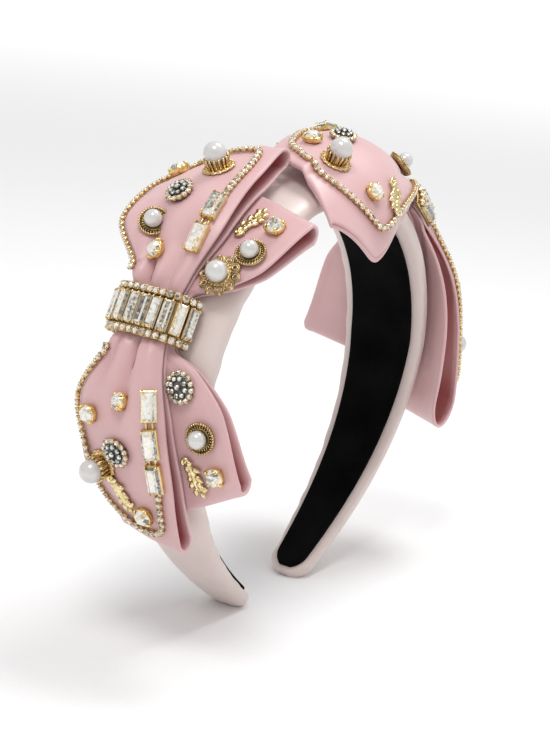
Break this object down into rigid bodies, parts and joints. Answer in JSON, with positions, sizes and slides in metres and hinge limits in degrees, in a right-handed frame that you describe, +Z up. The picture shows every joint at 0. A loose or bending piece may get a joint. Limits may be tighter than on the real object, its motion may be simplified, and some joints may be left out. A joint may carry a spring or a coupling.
{
  "type": "padded bow headband",
  "caption": "Padded satin headband with a velvet lining, carrying layered ribbon bows trimmed with chain-set stones, pearls, crystals and gilt charms; worn over the head.",
  "frame": {"origin": "middle of the lining's face at the crown, where the band sits on the head", "axes": "+X to the right leg, +Y to the back of the head, +Z up from the crown; the band stands on its two tips"},
  "size_m": [0.1915, 0.0703, 0.162],
  "materials": {
    "band_satin": "pale pink-beige satin, soft sheen",
    "velvet": "near-black velvet",
    "bow_satin": "dusty pink satin ribbon",
    "crystal": "clear cut stones in gilt settings",
    "gilt": "polished gilt",
    "old_gilt": "darkened antique gilt",
    "dark_metal": "dark metal pave set with small stones",
    "pearl": "white imitation pearl in a gilt cup"
  },
  "bodies": {
    "root": {"padded_band": "band_satin", "velvet_lining": "velvet", "left_top_upper_loop": "bow_satin", "left_top_lower_loop": "bow_satin", "left_under_upper_loop": "bow_satin", "left_under_lower_loop": "bow_satin", "right_top_upper_loop": "bow_satin", "right_top_lower_loop": "bow_satin", "right_under_upper_loop": "bow_satin", "right_under_lower_loop": "bow_satin", "left_knot": "crystal", "right_knot": "crystal", "left_top_upper_chain": "gilt", "left_top_lower_chain": "gilt", "right_top_upper_chain": "gilt", "right_top_lower_chain": "gilt", "left_top_upper_stones": "crystal", "left_top_lower_stones": "crystal", "right_top_upper_stones": "crystal", "right_top_lower_stones": "crystal", "left_top_upper_crystal": "gilt", "left_top_upper_crown_pearl": "pearl", "left_top_upper_pave": "dark_metal", "left_top_upper_rim_pearl": "pearl", "left_top_upper_crystal_2": "gilt", "left_under_upper_leaf": "gilt", "left_under_upper_crystal": "gilt", "left_under_upper_rim_pearl": "pearl", "left_under_upper_flower": "old_gilt", "left_top_lower_crystal": "gilt", "left_top_lower_crystal_2": "gilt", "left_top_lower_pave": "dark_metal", "left_top_lower_crown_pearl": "pearl", "left_top_lower_leaf": "gilt", "left_top_lower_crystal_3": "gilt", "left_under_lower_pave": "dark_metal", "left_under_lower_rim_pearl": "pearl", "left_under_lower_leaf": "gilt", "left_under_lower_crystal": "gilt", "right_top_upper_crown_pearl": "pearl", "right_top_upper_crystal": "gilt", "right_top_upper_pave": "dark_metal", "right_top_upper_rim_pearl": "pearl", "right_top_upper_crystal_2": "gilt", "right_top_upper_leaf": "gilt", "right_top_lower_crystal": "gilt", "right_top_lower_crystal_2": "gilt", "right_top_lower_pave": "dark_metal", "right_top_lower_crown_pearl": "pearl", "right_top_lower_leaf": "gilt", "right_under_upper_rim_pearl": "pearl", "right_under_upper_crystal": "gilt", "right_under_lower_pave": "dark_metal", "right_under_lower_rim_pearl": "pearl", "right_under_lower_leaf": "gilt", "right_under_lower_crystal": "gilt"}
  },
  "joints": []
}
